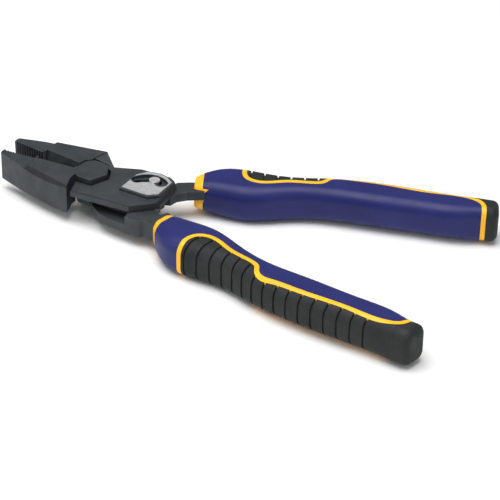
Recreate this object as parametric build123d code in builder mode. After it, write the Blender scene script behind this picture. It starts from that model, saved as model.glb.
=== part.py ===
from build123d import *
import os
from math import cos, radians, sin

os.makedirs("parts", exist_ok=True)

# Compound-leverage lineman's pliers, in millimetres, stored with the jaws part open.
# The origin is on the main pivot, at the middle of the head's thickness.
# +X runs to the handles along the line between them, +Y to the fixed handle, +Z up.

# Linkage: where the pivots are, and how far each turns
jaw_opening = 10.8            # degrees between the two gripping faces, as stored
jaw_extra_opening = 1.5       # degrees the moving jaw can still open
lever_ratio = 0.45            # degrees the jaw turns for each degree of the lever
link_pivot = Vector(24.9, -6.8)
slot_pin_centre = Vector(30.6, 5.9)

# Head
head_low = -7.4
tip_top = 7.45                # top of the jaws at the tips
strip_low = 6.85              # top at the foot of the ramp
flat_front = 8.5              # top of the raised flats, at their front end
flat_rear = 7.7               # and past the hub
head_height = flat_front - head_low
tip_length = 49.2
tip_width = 3.3
shoulder_x = 4.8
shoulder_y = 18.6
side_middle = (-29.0, 11.75)
face_clearance = 0.15         # each gripping face stops this far from the middle line
ramp_front = -32.2
ramp_rear = -30.2
hub_rear = 12.0
bevel_front = Vector(-29.8, 10.2, 8.5)
bevel_rear = Vector(-4.2, 18.0, 7.8)
bevel_drop = 2.0              # height lost for each millimetre outward on the side bevel

# Gripping teeth and the cutter
tooth_pitch = 1.55
tooth_depth = 0.7
tooth_count = 11
tooth_start = 31.9
cutter_front = 29.6
cutter_rear = 9.2
knife_setback = 1.9
knife_edge = 0.15

# Hub and the lug under it
hub_outline = [(7.9, -0.2), (5.5, 5.9), (2.0, 8.4), (-3.1, 8.8), (-6.4, 6.5), (-8.0, 1.7), (-8.0, -6.0),
               (-3.4, -8.1), (3.4, -8.5)]
hub_gap = 1.3                 # between the hub and the plate's window
lug_radius = 8.8
lug_flat = 8.1
lug_turn = 12.0
lug_top = -3.0
hub_low = -2.8
pivot_radius = 4.0
running_gap = 0.05
rivet_top = 5.0

# Plate of the fixed half
plate_low = 2.0
plate_top = 5.5
boss_top = 7.2
badge_thickness = 0.4
slot_width = 5.6
window_left = (23.2, 2.6)
window_middle = (30.2, 6.4)
window_right = (35.2, 4.0)
window_width = 6.6
neck_low = -2.3
neck_top = 2.4
neck_width = 11.0

# Tail of the moving jaw, and the lever
tail_top = 1.75
tail_radius = 7.2
link_radius = 3.0
lever_top = 1.7
ear_top = -3.0
slot_pin_radius = 2.3
pin_head_radius = 2.65
pin_head_low = 6.7
pin_head_top = 7.35
pin_boss_radius = 5.0

# Grips
grip_middle = -2.5            # height of the grips' middle
grip_half_height = 11.0
grip_low = grip_middle - grip_half_height
liner_wall = 1.5
piping_width = 2.3
tang_width = 8.0
tang_low = -2.3
tang_top = 1.7
cap_x = 180.5
groove_count = 16
groove_first = 28.0           # along the axis
groove_pitch = 6.6
groove_width = 1.0
groove_depth = 0.7



def turned(point, angle):
    return point.rotate(Axis.Z, angle)


def slot_point(lever_angle):
    """The slot pin's centre when the lever has turned by lever_angle from its stored place."""
    link = turned(link_pivot, -lever_ratio * lever_angle)
    return link + turned(slot_pin_centre - link_pivot, lever_angle)


lever_closing = jaw_opening / lever_ratio
lever_opening = -jaw_extra_opening / lever_ratio


# the space over the jaws and the hub: the tips, the ramp and the raised flats are cut to it
with BuildPart() as above_jaws:
    with BuildSketch(Plane.XZ):
        with BuildLine():
            Polyline((-tip_length - 2, tip_top), (ramp_front, strip_low), (ramp_rear, flat_front),
                     (hub_rear, flat_rear), (hub_rear, flat_front + 2),
                     (-tip_length - 2, flat_front + 2), close=True)
        make_face()
    extrude(amount=tip_length, both=True)


def jaw_half():
    """The jaw at +Y, closed, at full thickness, without its hub."""
    with BuildPart() as half:
        with BuildSketch(Plane.XY.offset(head_low)):
            with BuildLine():
                Line((-tip_length, face_clearance), (-tip_length, tip_width))
                ThreePointArc((-tip_length, tip_width), side_middle, (-shoulder_x, shoulder_y))
                Polyline((-shoulder_x, shoulder_y), (-6.6, 10.6), (-6.0, face_clearance),
                         (-tip_length, face_clearance))
            make_face()
        extrude(amount=head_height)
        along = (bevel_rear - bevel_front).normalized()
        outward = Vector(-along.Y, along.X)
        split(bisect_by=Plane(origin=bevel_front, z_dir=outward * bevel_drop + Vector(0, 0, 1)),
              keep=Keep.BOTTOM)
        with BuildSketch(Plane.XY.offset(head_low)):
            for number in range(tooth_count):
                x = -tooth_start - tooth_pitch * number
                with Locations((x, face_clearance)):
                    Polygon((-tooth_pitch / 2, -0.1), (0, tooth_depth), (tooth_pitch / 2, -0.1),
                            align=None)
        extrude(amount=head_height, mode=Mode.SUBTRACT)
        with BuildSketch(Plane.YZ.offset(-cutter_front)):
            with BuildLine():
                Polyline((-1, head_low - 1), (knife_setback, head_low - 1), (knife_setback, head_low),
                         (knife_edge, 0), (knife_setback, flat_front), (knife_setback, flat_front + 1),
                         (-1, flat_front + 1), close=True)
            make_face()
        extrude(amount=cutter_front - cutter_rear, mode=Mode.SUBTRACT)
        add(above_jaws.part, mode=Mode.SUBTRACT)
    return half.part


jaw_blank = jaw_half()

# ---- moving jaw: the near half, with its hub and the tail under the plate ----
with BuildPart() as moving_jaw:
    add(jaw_blank.mirror(Plane.XZ))
    with BuildSketch(Plane.XY.offset(head_low)):
        Circle(lug_radius + 0.5)
    extrude(amount=hub_low - head_low, mode=Mode.SUBTRACT)
    with BuildSketch(Plane.XY.offset(hub_low)):
        with BuildLine():
            Polyline(*hub_outline, close=True)
        make_face()
    extrude(amount=flat_front - hub_low)
    add(above_jaws.part, mode=Mode.SUBTRACT)
    with BuildSketch(Plane.XY.offset(hub_low)):
        with Locations(link_pivot):
            Circle(tail_radius)
        with BuildLine():
            Polyline((-2.0, -8.5), (13.0, -12.5), (link_pivot.X, link_pivot.Y - tail_radius),
                     (link_pivot.X, link_pivot.Y + tail_radius), (16.5, 1.9), (12.5, 8.0),
                     (0, 9.2), close=True)
        make_face()
    extrude(amount=tail_top - hub_low)
    with BuildSketch(Plane.XY.offset(hub_low)):
        Circle(pivot_radius + running_gap)
    extrude(amount=rivet_top + running_gap - hub_low, mode=Mode.SUBTRACT)
    with BuildSketch(Plane.XY.offset(hub_low)):
        with Locations(link_pivot):
            Circle(link_radius + running_gap)
    extrude(amount=head_height, mode=Mode.SUBTRACT)
moving_jaw.part.label = "moving_jaw"


# ---- grip outline, shared by both handles ----
grip_start = Vector(46.0, 15.0)
grip_heading = Vector(187.0 - 46.0, 62.0 - 15.0).normalized()
grip_side = Vector(-grip_heading.Y, grip_heading.X)
# along the axis, sideways from it, half width, half height, and height above the grips' middle
grip_stations = [(1.5, 3.5, 6.1, 6.6, 0.0), (6.0, 4.5, 8.3, 8.2, -0.2), (16.5, 5.7, 11.7, 9.6, -0.8),
                 (27.0, 4.5, 12.5, 9.9, -1.0), (37.0, 3.7, 10.9, 9.8, -0.9), (49.5, 3.9, 8.3, 9.6, -0.6),
                 (66.0, 4.6, 8.7, 9.3, -0.3), (82.6, 3.2, 9.8, 9.2, 0.0), (99.0, 0.9, 9.9, 9.2, 0.0),
                 (115.6, -1.9, 9.6, 9.2, 0.0), (132.0, -4.4, 8.7, 9.4, 0.0), (149.5, -6.6, 7.6, 9.3, 0.0)]
corner_share = 0.7


panel_front = [(60.0, 62.0), (64.0, 46.0), (65.6, 36.0), (69.5, 28.6), (75.0, 27.2), (88.4, 33.4),
               (101.2, 38.0), (105.0, 40.4), (106.9, 44.6), (110.0, 47.3), (116.0, 48.6), (131.0, 51.0),
               (156.5, 54.2), (175.5, 56.8), (181.2, 55.0), (184.6, 49.0), (188.0, 36.0)]


def panel_line():
    Spline(*panel_front)


with BuildPart() as grip_body:
    for along, sideways, half_width, half_height, rise in grip_stations:
        height = Vector(0, 0, grip_middle + rise)
        centre = grip_start + grip_heading * along + grip_side * sideways + height
        with BuildSketch(Plane(origin=centre, x_dir=grip_side, z_dir=grip_heading)):
            RectangleRounded(2 * half_width, 2 * half_height, corner_share * min(half_width, half_height))
    loft()
    fillet(grip_body.faces().sort_by(Axis.X)[-1].edges(), radius=3.5)
    fillet(grip_body.faces().sort_by(Axis.X)[0].edges(), radius=1.5)

# ---- fixed half: far jaw, lug, plate, boss, neck and tang in one forging ----
def tang_line():
    Spline((43.5, 13.6), (60.0, 23.6), (92.0, 34.4), (123.0, 43.8), (156.0, 49.4), (174.0, 52.2),
           tangents=((1.0, 0.62), (1.0, 0.13)))


with BuildPart() as far_jaw:
    add(jaw_blank.rotate(Axis.Z, -jaw_opening))
    with BuildSketch(Plane.XY.offset(head_low)):
        RegularPolygon(lug_flat, 8, major_radius=False, rotation=lug_turn)
        with BuildLine():
            Polyline((-7.5, 1.6), (-2.0, -6.0), (4.0, 2.0), (-1.4, 14.4), (-7.0, 11.5), close=True)
        make_face()
    extrude(amount=lug_top - head_low)
    with BuildSketch(Plane.XY.offset(hub_low - 0.1)):
        with BuildLine():
            Polyline(*hub_outline, close=True)
        make_face()
        offset(amount=hub_gap, kind=Kind.INTERSECTION)
    extrude(amount=head_height, mode=Mode.SUBTRACT)

plate_outline = [(-3.4, -17.6), (28.4, -18.3), (40.8, -9.0), (41.4, 3.7), (40.4, 10.0), (35.4, 13.7),
                 (28.9, 14.2), (19.6, 14.6), (6.4, 10.6), (-1.3, 18.8), (-4.6, 11.6), (-5.0, 5.0),
                 (-5.0, -10.0)]
shoulder_top = (-1.4, 18.8, 7.4)
shoulder_root = (-4.6, 11.6, 7.4)
shoulder_foot = (6.4, 10.6, 5.5)
badge_outline = [(19.2, -6.9), (20.8, 6.2), (24.8, 11.0), (31.0, 11.6), (35.5, 10.1), (39.4, 6.8),
                 (38.2, -5.3), (33.6, -8.5)]


def slot_line():
    ThreePointArc(slot_point(lever_opening), slot_point(lever_closing / 2), slot_point(lever_closing))


def window_arc():
    ThreePointArc(window_left, window_middle, window_right)


with BuildPart() as fixed_jaw:
    with BuildSketch(Plane.XY.offset(plate_low)):
        with BuildLine():
            Polyline(*plate_outline, close=True)
        make_face()
    extrude(amount=plate_top - plate_low)
    near_edge = fixed_jaw.edges().filter_by_position(Axis.Z, plate_top - 0.01, plate_top + 0.01)
    chamfer(near_edge.sort_by(Axis.Y)[:2], length=0.7)
    end_edges = fixed_jaw.edges().filter_by_position(Axis.Z, plate_top - 0.01, plate_top + 0.01)
    chamfer(end_edges.sort_by(Axis.X)[-2:], length=1.4)
    with BuildPart(mode=Mode.PRIVATE) as web:
        with BuildSketch(Plane.XY.offset(plate_low)):
            with BuildLine():
                Polyline(shoulder_top[:2], shoulder_root[:2], shoulder_foot[:2], close=True)
            make_face()
        extrude(amount=head_height)
        slope = (Vector(shoulder_foot) - Vector(shoulder_top)).cross(
            Vector(shoulder_root) - Vector(shoulder_top))
        split(bisect_by=Plane(origin=shoulder_top, z_dir=slope * (1 if slope.Z > 0 else -1)),
              keep=Keep.BOTTOM)
    add(web.part)
    with BuildSketch(Plane.XY.offset(plate_low)):
        with BuildLine():
            Polyline(*hub_outline, close=True)
        make_face()
        offset(amount=hub_gap, kind=Kind.INTERSECTION)
    extrude(amount=head_height, mode=Mode.SUBTRACT)
    with BuildSketch(Plane.XY.offset(plate_top - 0.5)):
        with BuildLine():
            Polyline(*badge_outline, close=True)
        make_face()
        offset(amount=0.9, kind=Kind.INTERSECTION)
    extrude(amount=boss_top - plate_top + 0.5)
    with BuildSketch(Plane.XY.offset(neck_low)):
        with BuildLine():
            Polyline((37.7, 0.5), (41.2, 1.5), (42.6, 5.6), (46.5, 9.2), (54.0, 13.2),
                     (50.0, 21.0), (44.0, 18.3), (38.5, 15.4), (37.7, 13.0), close=True)
        make_face()
    extrude(amount=neck_top - neck_low)
    add(grip_body.part, mode=Mode.SUBTRACT)
    with BuildSketch(Plane.XY.offset(plate_low)):
        with BuildLine():
            Polyline((37.7, 0.5), (41.0, 1.5), (41.3, 3.7), (40.2, 9.8), (37.7, 12.0), close=True)
        make_face()
    extrude(amount=1.0)
    with BuildSketch(Plane.XY.offset(tang_low)):
        with BuildLine():
            tang_line()
        trace(line_width=tang_width)
    extrude(amount=tang_top - tang_low)
    add(far_jaw.part)
    with BuildSketch(Plane.XY.offset(head_low)):
        Circle(pivot_radius)
    extrude(amount=lug_top - head_low, mode=Mode.SUBTRACT)
    with BuildSketch(Plane.XY.offset(plate_low - 1)):
        with BuildLine():
            slot_line()
        trace(line_width=slot_width)
        with Locations(slot_point(lever_opening), slot_point(lever_closing)):
            Circle(slot_width / 2)
    extrude(amount=head_height, mode=Mode.SUBTRACT)
    with BuildSketch(Plane.XY.offset(plate_top)):
        with BuildLine():
            window_arc()
        trace(line_width=window_width)
        with Locations(window_left, window_right):
            Circle(window_width / 2)
    extrude(amount=head_height, mode=Mode.SUBTRACT)
fixed_jaw.part.label = "fixed_jaw"

with BuildPart() as badge_plate:
    with BuildSketch(Plane.XY.offset(boss_top)):
        with BuildLine():
            Polyline(*badge_outline, close=True)
        make_face()
        with BuildLine():
            window_arc()
        trace(line_width=window_width, mode=Mode.SUBTRACT)
        with Locations(window_left, window_right):
            Circle(window_width / 2, mode=Mode.SUBTRACT)
        with BuildLine():
            slot_line()
        trace(line_width=slot_width, mode=Mode.SUBTRACT)
        with Locations(slot_point(lever_opening), slot_point(lever_closing)):
            Circle(slot_width / 2, mode=Mode.SUBTRACT)
    extrude(amount=badge_thickness)
badge_plate.part.label = "badge_plate"

with BuildPart() as main_rivet:
    with BuildSketch(Plane.XY.offset(head_low)):
        Circle(pivot_radius)
    extrude(amount=rivet_top - head_low)
main_rivet.part.label = "main_rivet"

# ---- lever: the near handle's forging ----
lever_outline = [(3.4, -9.6), (6.6, -13.5), (13.3, -19.1), (19.5, -20.8), (31.2, -22.8), (36.4, -23.2),
                 (38.2, -22.0), (44.0, -23.6), (54.0, -27.0), (54.0, -20.0), (47.0, -16.4),
                 (42.5, -13.2), (38.5, -10.4), (35.5, 2.0), (26.5, 2.0), (12.0, -4.0)]
with BuildPart() as lever_handle:
    with BuildSketch(Plane.XY.offset(head_low)):
        with BuildLine():
            Polyline(*lever_outline, close=True)
        make_face()
        with Locations(slot_pin_centre):
            Circle(pin_boss_radius)
    extrude(amount=lever_top - head_low)
    with BuildSketch(Plane.XY.offset(ear_top)):
        with Locations(link_pivot):
            Circle(tail_radius + 0.6)
        with BuildLine():
            Polyline((0, -30), (28.3, -30), (28.3, -13.0), (31.2, -1.6), (26.8, 3.6), (21.5, 10.0),
                     (0, 10.0), close=True)
        make_face()
    extrude(amount=head_height, mode=Mode.SUBTRACT)
    for share in (0, 0.25, 0.5, 0.75, 1):
        angle = lever_opening * share
        moved_link = turned(link_pivot, -lever_ratio * angle)
        centre = link_pivot + turned(-moved_link, -angle)
        with BuildSketch(Plane.XY.offset(head_low)):
            with Locations(centre):
                Circle(lug_radius + 0.5)
        extrude(amount=ear_top - head_low, mode=Mode.SUBTRACT)
    add(grip_body.part.mirror(Plane.XZ), mode=Mode.SUBTRACT)
    with BuildSketch(Plane.XY.offset(tang_low)):
        with BuildLine():
            tang_line()
        trace(line_width=tang_width)
        mirror(about=Plane.XZ, mode=Mode.REPLACE)
    extrude(amount=tang_top - tang_low)
    with BuildSketch(Plane.XY.offset(head_low)):
        with Locations(link_pivot):
            Circle(link_radius)
        with Locations(slot_pin_centre):
            Circle(slot_pin_radius)
    extrude(amount=head_height, mode=Mode.SUBTRACT)
lever_handle.part.label = "lever_handle"

with BuildPart() as link_rivet:
    with BuildSketch(Plane.XY.offset(head_low)):
        with Locations(link_pivot):
            Circle(link_radius)
    extrude(amount=tail_top - head_low)
link_rivet.part.label = "link_rivet"

with BuildPart() as slot_pin:
    with BuildSketch(Plane.XY.offset(head_low)):
        with Locations(slot_pin_centre):
            Circle(slot_pin_radius)
    extrude(amount=pin_head_low - head_low)
    with BuildSketch(Plane.XY.offset(pin_head_low)):
        with Locations(slot_pin_centre):
            Circle(pin_head_radius)
    extrude(amount=pin_head_top - pin_head_low)
slot_pin.part.label = "slot_pin"

for piece in (fixed_jaw, moving_jaw, badge_plate, main_rivet, lever_handle, link_rivet, slot_pin):
    export_step(piece.part, "parts/" + piece.part.label + ".step")


# ---- grips: liner with its piping and collar, sleeve, ribbed panel and end cap ----
with BuildPart() as tang_space:
    with BuildSketch(Plane.XY.offset(tang_low)):
        with BuildLine():
            tang_line()
        trace(line_width=tang_width)
    extrude(amount=tang_top - tang_low)

with BuildPart() as liner_space:
    with BuildSketch(Plane.XY.offset(tang_low - liner_wall)):
        with BuildLine():
            tang_line()
        trace(line_width=tang_width + 2 * liner_wall)
        with Locations((176.0, 52.4)):
            Circle(tang_width / 2 + liner_wall)
    extrude(amount=tang_top - tang_low + 2 * liner_wall)

with BuildPart() as piping_wall:
    with BuildSketch(Plane.XY.offset(grip_low - 1)):
        with BuildLine():
            panel_line()
        trace(line_width=piping_width)
    extrude(amount=2 * grip_half_height + 2)

with BuildPart() as panel_side:
    with BuildSketch(Plane.XY.offset(grip_low - 1)):
        with BuildLine():
            panel_line()
            Polyline(panel_front[-1], (210.0, 36.0), (210.0, 75.0), (60.0, 75.0), panel_front[0])
        make_face()
    extrude(amount=2 * grip_half_height + 2)

with BuildPart() as collar_side:
    with BuildSketch(Plane.XY.offset(grip_low - 1)):
        with BuildLine():
            Polyline((30.0, 50.0), (39.5, 50.0), (58.5, -2.0), (30.0, -2.0), close=True)
        make_face()
    extrude(amount=2 * grip_half_height + 2)

with BuildPart() as cap_side:
    with BuildSketch(Plane.XY.offset(grip_low - 1)):
        with Locations((cap_x, 30)):
            Rectangle(30, 60, align=(Align.MIN, Align.MIN))
    extrude(amount=2 * grip_half_height + 2)

with BuildPart() as groove_floor:
    for along, sideways, half_width, half_height, rise in grip_stations:
        height = Vector(0, 0, grip_middle + rise)
        centre = grip_start + grip_heading * along + grip_side * sideways + height
        with BuildSketch(Plane(origin=centre, x_dir=grip_side, z_dir=grip_heading)):
            RectangleRounded(2 * (half_width - groove_depth), 2 * (half_height - groove_depth),
                             corner_share * min(half_width, half_height))
    loft()

with BuildPart() as grooves:
    for number in range(groove_count):
        centre = grip_start + grip_heading * (groove_first + groove_pitch * number)
        with BuildSketch(Plane(origin=centre, x_dir=grip_side, z_dir=grip_heading)):
            Rectangle(40, 40)
        extrude(amount=groove_width)
    add(groove_floor.part, mode=Mode.SUBTRACT)

with BuildPart() as far_core:
    add(grip_body.part)
    add(liner_space.part, mode=Mode.INTERSECT)
    with BuildPart(mode=Mode.PRIVATE) as far_walls:
        add(grip_body.part)
        add(piping_wall.part, mode=Mode.INTERSECT)
    add(far_walls.part)
    add(collar_side.part, mode=Mode.SUBTRACT)
    add(tang_space.part, mode=Mode.SUBTRACT)

with BuildPart() as far_collar:
    add(grip_body.part)
    add(collar_side.part, mode=Mode.INTERSECT)
    add(tang_space.part, mode=Mode.SUBTRACT)

with BuildPart() as far_sleeve:
    add(grip_body.part)
    for taken in (collar_side, panel_side, piping_wall, liner_space):
        add(taken.part, mode=Mode.SUBTRACT)

with BuildPart() as far_panel:
    add(grip_body.part)
    add(panel_side.part, mode=Mode.INTERSECT)
    for taken in (piping_wall, liner_space, cap_side, grooves):
        add(taken.part, mode=Mode.SUBTRACT)

with BuildPart() as far_end_cap:
    add(grip_body.part)
    add(panel_side.part, mode=Mode.INTERSECT)
    add(cap_side.part, mode=Mode.INTERSECT)
    for taken in (piping_wall, liner_space):
        add(taken.part, mode=Mode.SUBTRACT)

for name, piece in (("core", far_core), ("collar", far_collar), ("sleeve", far_sleeve),
                    ("panel", far_panel), ("end_cap", far_end_cap)):
    piece.part.label = "far_" + name
    export_step(piece.part, "parts/far_" + name + ".step")
    with BuildPart() as near_piece:
        add(piece.part.mirror(Plane.XZ))
    near_piece.part.label = "near_" + name
    export_step(near_piece.part, "parts/near_" + name + ".step")
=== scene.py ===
import math

import bpy
from mathutils import Matrix, Vector


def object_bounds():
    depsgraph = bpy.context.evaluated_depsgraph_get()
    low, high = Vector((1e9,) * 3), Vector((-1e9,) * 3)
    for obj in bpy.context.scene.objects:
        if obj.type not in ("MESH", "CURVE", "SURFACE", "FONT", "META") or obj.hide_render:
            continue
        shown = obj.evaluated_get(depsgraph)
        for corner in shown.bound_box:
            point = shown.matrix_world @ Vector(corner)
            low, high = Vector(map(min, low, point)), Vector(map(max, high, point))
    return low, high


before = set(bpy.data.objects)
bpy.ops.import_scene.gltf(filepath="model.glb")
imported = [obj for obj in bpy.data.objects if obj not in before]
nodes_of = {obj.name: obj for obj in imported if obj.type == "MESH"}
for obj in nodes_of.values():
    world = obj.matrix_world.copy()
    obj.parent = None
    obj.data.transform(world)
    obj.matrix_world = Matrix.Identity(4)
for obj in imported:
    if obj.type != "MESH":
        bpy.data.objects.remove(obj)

cad_low, cad_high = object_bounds()
cad_box = (tuple(cad_low), tuple(cad_high))

# ---- camera: the photograph's viewing angle, framing and perspective, with no shift ----
AZIMUTH, ELEVATION, ROLL = 23.1585, 33.4014, 1.1563
DISTANCE = 1.03068
SENSOR_WIDTH = 36.0       # mm
FOCAL_LENGTH = 158.39208  # mm
CLIP_START = 0.01
TARGET = Vector((0.09316867, -0.02079825, 0.0))
azimuth, elevation, roll = (math.radians(a) for a in (AZIMUTH, ELEVATION, ROLL))
back = Vector((math.sin(azimuth) * math.cos(elevation),
               -math.cos(azimuth) * math.cos(elevation), math.sin(elevation)))
level = Vector((math.cos(azimuth), math.sin(azimuth), 0.0))
rise = back.cross(level)
right = math.cos(roll) * level + math.sin(roll) * rise
up = -math.sin(roll) * level + math.cos(roll) * rise
camera_data = bpy.data.cameras.new("camera")
camera_data.sensor_width = SENSOR_WIDTH
camera_data.lens = FOCAL_LENGTH
camera_data.clip_start = CLIP_START
camera = bpy.data.objects.new("camera", camera_data)
turn = Matrix((right, up, back)).transposed().to_4x4()
camera.matrix_world = Matrix.Translation(TARGET + back * DISTANCE) @ turn
bpy.context.scene.collection.objects.link(camera)
bpy.context.scene.camera = camera


# ---- materials ----
BEVEL_SAMPLES = 6
SHARP_EDGE = 0.80       # dot product of the rounded and flat normals at a sharp edge
FLAT_FACE = 0.985       # and where the face is flat again
# painted shade colour put on the sloped faces of the steel
SLOPE_SHADE_BLACK = (0.006, 0.007, 0.008, 1.0)


class Nodes:
    """A material's node tree, with short ways to add and join nodes."""

    def __init__(self, name):
        self.material = bpy.data.materials.new(name)
        self.material.use_nodes = True
        self.tree = self.material.node_tree
        self.shader = self.tree.nodes["Principled BSDF"]
        self.coordinates = self.add("ShaderNodeTexCoord")
        self.place = self.coordinates.outputs["Object"]

    def add(self, kind, **settings):
        node = self.tree.nodes.new(kind)
        for key, value in settings.items():
            setattr(node, key, value)
        return node

    def put(self, socket, value):
        if isinstance(value, bpy.types.NodeSocket):
            self.tree.links.new(value, socket)
        else:
            socket.default_value = value

    def noise(self, scale, detail=4.0, roughness=0.55):
        node = self.add("ShaderNodeTexNoise")
        self.put(node.inputs["Vector"], self.place)
        self.put(node.inputs["Scale"], scale)
        self.put(node.inputs["Detail"], detail)
        self.put(node.inputs["Roughness"], roughness)
        return node.outputs["Fac"]

    def ramp(self, value, low, high, out_low=0.0, out_high=1.0):
        node = self.add("ShaderNodeMapRange")
        self.put(node.inputs["Value"], value)
        self.put(node.inputs["From Min"], low)
        self.put(node.inputs["From Max"], high)
        self.put(node.inputs["To Min"], out_low)
        self.put(node.inputs["To Max"], out_high)
        return node.outputs["Result"]

    def mix(self, share, first, second):
        node = self.add("ShaderNodeMix", data_type="RGBA")
        self.put(node.inputs[0], share)
        self.put(node.inputs[6], first)
        self.put(node.inputs[7], second)
        return node.outputs[2]

    def arithmetic(self, operation, first, second=0.0):
        """The result of one arithmetic operation on two values."""
        node = self.add("ShaderNodeMath", operation=operation)
        self.put(node.inputs[0], first)
        self.put(node.inputs[1], second)
        return node.outputs[0]

    def bump(self, height, distance, strength=1.0, normal=None):
        node = self.add("ShaderNodeBump")
        self.put(node.inputs["Height"], height)
        self.put(node.inputs["Distance"], distance)
        self.put(node.inputs["Strength"], strength)
        if normal is not None:
            self.put(node.inputs["Normal"], normal)
        return node.outputs["Normal"]

    def rounded(self, radius):
        """The surface normal with sharp edges rounded over by radius."""
        node = self.add("ShaderNodeBevel", samples=BEVEL_SAMPLES)
        self.put(node.inputs["Radius"], radius)
        return node.outputs["Normal"]

    def edges(self, radius):
        """About 1 at a sharp edge, 0 on a flat."""
        soft = self.rounded(radius)
        flat = self.add("ShaderNodeNewGeometry").outputs["Normal"]
        node = self.add("ShaderNodeVectorMath", operation="DOT_PRODUCT")
        self.put(node.inputs[0], soft)
        self.put(node.inputs[1], flat)
        return self.ramp(node.outputs["Value"], FLAT_FACE, SHARP_EDGE)


def colour(red, green, blue):
    return (red, green, blue, 1.0)


def steel(name, dark, light, worn_and_highlight, metal):
    """Black-oxide forging: cloudy colour, fine blasted grain, edges lighter as partly rubbed wear and
    partly painted highlight, sloped faces darkened as painted shade.
    """
    wear_and_highlight = 0.6
    painted_slope_shade = 0.72
    edge_width = 0.00045
    m = Nodes(name)
    cloud = m.ramp(m.noise(90.0, 5.0), 0.35, 0.68)
    speck = m.ramp(m.noise(1900.0, 3.0, 0.7), 0.35, 0.7)
    base = m.mix(cloud, dark, light)
    base = m.mix(m.arithmetic("MULTIPLY", speck, 0.35), base, light)
    patches = m.ramp(m.noise(420.0, 4.0, 0.7), 0.42, 0.62, 0.15, 1.0)
    # painted highlight mixed with rubbed wear: sharp edges, convex and concave, lightened towards the
    # edge colour
    rub_and_highlight = m.arithmetic("MULTIPLY", m.edges(edge_width), patches)
    base = m.mix(m.arithmetic("MULTIPLY", rub_and_highlight, wear_and_highlight), base, worn_and_highlight)
    # painted shade: faces sloped between the flat tops and the upright sides are darkened nearly to black
    # by their direction alone
    facing = m.add("ShaderNodeSeparateXYZ")
    m.put(facing.inputs["Vector"], m.coordinates.outputs["Normal"])
    slope = m.arithmetic("ABSOLUTE", facing.outputs["Z"])
    slope_shade_mask = m.arithmetic("MULTIPLY", m.ramp(slope, 0.22, 0.34), m.ramp(slope, 0.80, 0.70))
    base = m.mix(m.arithmetic("MULTIPLY", slope_shade_mask, painted_slope_shade), base, SLOPE_SHADE_BLACK)
    m.put(m.shader.inputs["Base Color"], base)
    m.put(m.shader.inputs["Metallic"], metal)
    m.shader.inputs["Specular IOR Level"].default_value = 0.35
    m.put(m.shader.inputs["Roughness"], m.ramp(m.noise(260.0, 4.0), 0.3, 0.7, 0.40, 0.58))
    normal = m.bump(m.noise(2600.0, 3.0, 0.6), 0.00005, 0.5, m.rounded(0.00035))
    normal = m.bump(m.noise(150.0, 3.0), 0.00022, 0.35, normal)
    m.put(m.shader.inputs["Normal"], normal)
    return m.material


def plastic(name, base, second, rough_low, rough_high, grain, coat=0.0):
    """Moulded plastic: faint tone drift and a fine spark-eroded grain."""
    m = Nodes(name)
    drift = m.ramp(m.noise(38.0, 3.0), 0.3, 0.7)
    m.put(m.shader.inputs["Base Color"], m.mix(drift, base, second))
    m.put(m.shader.inputs["Roughness"], m.ramp(m.noise(140.0, 4.0), 0.3, 0.7, rough_low, rough_high))
    m.shader.inputs["Specular IOR Level"].default_value = 0.25
    m.shader.inputs["Coat Weight"].default_value = coat
    m.shader.inputs["Coat Roughness"].default_value = 0.25
    normal = m.bump(m.noise(3400.0, 2.0, 0.6), grain, 0.6, m.rounded(0.0004))
    m.put(m.shader.inputs["Normal"], normal)
    return m.material


# in both steels the third colour is the edge colour, partly rubbed wear and partly painted highlight
forging = steel("black_oxide_forging", colour(0.030, 0.036, 0.042), colour(0.052, 0.060, 0.067),
                colour(0.17, 0.17, 0.155), 0.35)
rivet = steel("oiled_rivet_steel", colour(0.030, 0.031, 0.033), colour(0.06, 0.062, 0.064),
              colour(0.2, 0.2, 0.19), 0.7)
blue = plastic("blue_sleeve_plastic", colour(0.014, 0.017, 0.105), colour(0.019, 0.023, 0.135),
               0.34, 0.48, 0.00004)
yellow = plastic("yellow_liner_plastic", colour(0.95, 0.45, 0.010), colour(1.0, 0.52, 0.016),
                 0.32, 0.44, 0.00002, 0.2)


def rubber():
    """Matt black rubber with a little dust in its grain."""
    m = Nodes("black_panel_rubber")
    drift = m.ramp(m.noise(60.0, 5.0, 0.65), 0.3, 0.72)
    base = m.mix(drift, colour(0.015, 0.0175, 0.0175), colour(0.027, 0.030, 0.030))
    dust = m.arithmetic("MULTIPLY", m.ramp(m.noise(900.0, 3.0, 0.7), 0.55, 0.75), 0.25)
    m.put(m.shader.inputs["Base Color"], m.mix(dust, base, colour(0.05, 0.053, 0.052)))
    m.put(m.shader.inputs["Roughness"], m.ramp(m.noise(220.0, 4.0), 0.3, 0.7, 0.50, 0.66))
    m.shader.inputs["Specular IOR Level"].default_value = 0.2
    normal = m.bump(m.noise(2800.0, 3.0, 0.7), 0.00006, 0.7, m.rounded(0.0004))
    m.put(m.shader.inputs["Normal"], normal)
    return m.material


def badge():
    """Bead-blasted bright metal, speckled at a fine scale."""
    m = Nodes("blasted_badge_metal")
    speck = m.ramp(m.noise(2300.0, 2.0, 0.8), 0.38, 0.66)
    m.put(m.shader.inputs["Base Color"], m.mix(speck, colour(0.34, 0.35, 0.36), colour(0.66, 0.66, 0.66)))
    m.put(m.shader.inputs["Metallic"], 0.55)
    m.put(m.shader.inputs["Roughness"], m.ramp(m.noise(500.0, 3.0), 0.3, 0.7, 0.42, 0.6))
    m.put(m.shader.inputs["Normal"], m.bump(m.noise(2300.0, 2.0, 0.8), 0.00008, 0.6, m.rounded(0.0002)))
    return m.material


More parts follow.
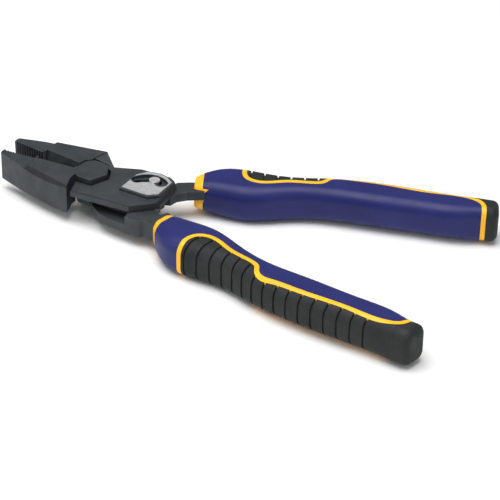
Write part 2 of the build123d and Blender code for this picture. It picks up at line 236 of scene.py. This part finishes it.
def pin_metal():
    """Satin bright steel."""
    m = Nodes("satin_pin_steel")
    m.put(m.shader.inputs["Base Color"], m.mix(m.ramp(m.noise(800.0, 3.0), 0.35, 0.65),
                                               colour(0.62, 0.62, 0.63), colour(0.82, 0.82, 0.82)))
    m.put(m.shader.inputs["Metallic"], 0.7)
    m.put(m.shader.inputs["Roughness"], m.ramp(m.noise(300.0, 3.0), 0.3, 0.7, 0.28, 0.42))
    m.put(m.shader.inputs["Normal"], m.bump(m.noise(1500.0, 2.0), 0.00003, 0.5, m.rounded(0.0003)))
    return m.material


panel = rubber()
badge_metal = badge()
pin_steel = pin_metal()
finish = {"fixed_jaw": forging, "moving_jaw": forging, "lever_handle": forging, "main_rivet": rivet,
          "link_rivet": rivet, "slot_pin": pin_steel, "badge_plate": badge_metal}
for side in ("far", "near"):
    finish[side + "_core"] = yellow
    finish[side + "_collar"] = yellow
    finish[side + "_sleeve"] = blue
    finish[side + "_panel"] = panel
    finish[side + "_end_cap"] = panel
for name, material in finish.items():
    node = nodes_of[name]
    for place in range(len(node.material_slots)):
        node.material_slots[place].material = material

# ---- floor and light ----
floor_mesh = bpy.data.meshes.new("floor")
reach = 3.0
floor_gap = 0.0002
low = cad_box[0][2] - floor_gap
floor_mesh.from_pydata([(-reach, -reach, low), (reach, -reach, low), (reach, reach, low),
                        (-reach, reach, low)], [], [(0, 1, 2, 3)])
floor = bpy.data.objects.new("floor", floor_mesh)
bpy.context.scene.collection.objects.link(floor)
paper = Nodes("pale_floor")
paper.put(paper.shader.inputs["Base Color"], paper.mix(paper.noise(6.0, 2.0), colour(0.86, 0.86, 0.86),
                                                       colour(0.90, 0.90, 0.90)))
paper.shader.inputs["Roughness"].default_value = 0.9
floor_mesh.materials.append(paper.material)


def area_light(name, place, target, size, power):
    data = bpy.data.lights.new(name, "AREA")
    data.shape = "SQUARE"
    data.size = size
    data.energy = power
    light = bpy.data.objects.new(name, data)
    light.location = place
    light.rotation_euler = (Vector(target) - Vector(place)).to_track_quat("-Z", "Y").to_euler()
    bpy.context.scene.collection.objects.link(light)
    return light


middle = (0.07, 0.0, 0.0)
area_light("overhead", (0.00, -0.15, 1.0), middle, 0.9, 13.0)
area_light("left_fill", (-0.75, -0.55, 0.45), middle, 0.6, 2.0)
area_light("right_fill", (0.9, -0.5, 0.5), middle, 0.6, 1.2)
world = bpy.data.worlds.new("studio")
world.use_nodes = True
world.node_tree.nodes["Background"].inputs["Color"].default_value = (1.0, 1.0, 1.0, 1.0)
world.node_tree.nodes["Background"].inputs["Strength"].default_value = 0.30
bpy.context.scene.world = world
bpy.context.scene.view_settings.view_transform = "Standard"
